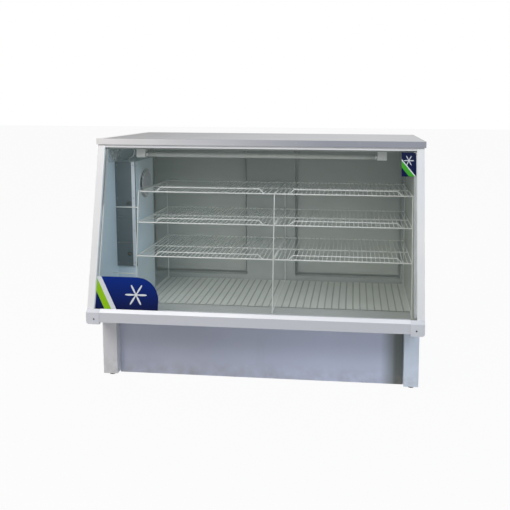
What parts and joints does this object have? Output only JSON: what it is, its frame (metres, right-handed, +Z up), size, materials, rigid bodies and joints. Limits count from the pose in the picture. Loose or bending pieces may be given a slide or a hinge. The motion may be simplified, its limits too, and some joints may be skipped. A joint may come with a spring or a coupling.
{
  "type": "refrigerated display counter",
  "caption": "Refrigerated display counter: sloped front glass, steel worktop, wire shelves in two bays, end evaporator, hinged service doors and a recessed base.",
  "frame": {"origin": "on the floor, under the middle of the counter", "axes": "+X along the counter to the customer's right, +Y towards the service side, +Z up"},
  "size_m": [1.668, 0.871, 1.254],
  "materials": {
    "white_paint": "satin",
    "base_paint": "satin",
    "liner_paint": "satin",
    "cover_paint": "satin",
    "worktop_steel": "brushed",
    "floor_aluminium": "satin",
    "galvanised": "satin",
    "shelf_coating": "gloss",
    "cap_plastic": "satin",
    "glass": "clear",
    "seal_rubber": "matt",
    "black_plastic": "matt",
    "machine_black": "semi gloss",
    "coil_fins": "satin",
    "pipe_copper": "satin",
    "lamp_plastic": "gloss",
    "lamp_glass": "gloss",
    "panel_plastic": "satin",
    "lead_jacket": "matt"
  },
  "bodies": {
    "cabinet": {"base_end_left": "base_paint", "base_end_right": "base_paint", "base_tray": "galvanised", "bumper_caps": "cap_plastic", "bumper_rail": "white_paint", "cabinet_floor": "liner_paint", "cable_grommets": "seal_rubber", "cap_screws": "galvanised", "compressor": "machine_black", "compressor_mounts": "seal_rubber", "condenser_coil": "coil_fins", "condenser_fan_motor": "machine_black", "condenser_shroud": "galvanised", "control_panel": "panel_plastic", "drain_pan": "galvanised", "drip_tray": "galvanised", "end_panel_left": "white_paint", "end_panel_right": "white_paint", "evaporator_coil": "coil_fins", "evaporator_cover": "cover_paint", "evaporator_fan_motor": "machine_black", "evaporator_housing": "liner_paint", "fan_guard": "lamp_plastic", "fan_lead": "lead_jacket", "floor_panels": "floor_aluminium", "front_glass": "glass", "glass_trims": "seal_rubber", "hinge_brackets": "galvanised", "kick_panel": "base_paint", "lampholders": "lamp_plastic", "light_tube": "lamp_glass", "rack_side_left": "shelf_coating", "rack_side_middle": "shelf_coating", "rack_side_right": "shelf_coating", "rear_frame": "liner_paint", "rear_grille": "base_paint", "refrigerant_pipes": "pipe_copper", "roof_panel": "liner_paint", "shelf_left_bottom": "shelf_coating", "shelf_left_middle": "shelf_coating", "shelf_left_top": "shelf_coating", "shelf_right_bottom": "shelf_coating", "shelf_right_middle": "shelf_coating", "shelf_right_top": "shelf_coating", "top_rail": "white_paint", "worktop": "worktop_steel"},
    "foot_front_left": {"levelling_foot_front_left": "black_plastic"},
    "foot_front_right": {"levelling_foot_front_right": "black_plastic"},
    "foot_back_left": {"levelling_foot_back_left": "black_plastic"},
    "foot_back_right": {"levelling_foot_back_right": "black_plastic"},
    "cooling_fan": {"condenser_fan_blade": "black_plastic"},
    "cold_air_fan": {"evaporator_fan_blade": "black_plastic"},
    "left_door": {"door_left": "white_paint", "door_gasket_left": "seal_rubber", "door_handle_left": "black_plastic"},
    "right_door": {"door_right": "white_paint", "door_gasket_right": "seal_rubber", "door_handle_right": "black_plastic"},
    "thermostat": {"thermostat_knob": "black_plastic"},
    "light_rocker": {"light_switch": "black_plastic"}
  },
  "joints": [
    {"name": "foot_front_left_screw", "type": "slide", "parent": "cabinet", "child": "foot_front_left", "axis": [0, 0, 1], "range_m": [-0.02, 0]},
    {"name": "foot_front_right_screw", "type": "slide", "parent": "cabinet", "child": "foot_front_right", "axis": [0, 0, 1], "range_m": [-0.02, 0]},
    {"name": "foot_back_left_screw", "type": "slide", "parent": "cabinet", "child": "foot_back_left", "axis": [0, 0, 1], "range_m": [-0.02, 0]},
    {"name": "foot_back_right_screw", "type": "slide", "parent": "cabinet", "child": "foot_back_right", "axis": [0, 0, 1], "range_m": [-0.02, 0]},
    {"name": "cooling_fan_spin", "type": "hinge", "parent": "cabinet", "child": "cooling_fan", "pos_m": [-0.06, 0.1485, 0.1435], "axis": [0, 1, 0], "continuous": true},
    {"name": "cold_air_fan_spin", "type": "hinge", "parent": "cabinet", "child": "cold_air_fan", "pos_m": [-0.6955, -0.0055, 0.99], "axis": [1, 0, 0], "continuous": true},
    {"name": "left_door_swing", "type": "hinge", "parent": "cabinet", "child": "left_door", "pos_m": [-0.797, 0.3935, 0.764], "axis": [0, 0, 1], "range_deg": [0, 110]},
    {"name": "right_door_swing", "type": "hinge", "parent": "cabinet", "child": "right_door", "pos_m": [0.797, 0.3935, 0.764], "axis": [0, 0, -1], "range_deg": [0, 110]},
    {"name": "thermostat_turn", "type": "hinge", "parent": "cabinet", "child": "thermostat", "pos_m": [-0.0215, 0.3855, 1.085], "axis": [0, 1, 0], "range_deg": [0, 270]},
    {"name": "light_switch_tilt", "type": "hinge", "parent": "cabinet", "child": "light_rocker", "pos_m": [-0.0215, 0.3845, 1.01], "axis": [1, 0, 0], "range_deg": [0, 10]}
  ]
}
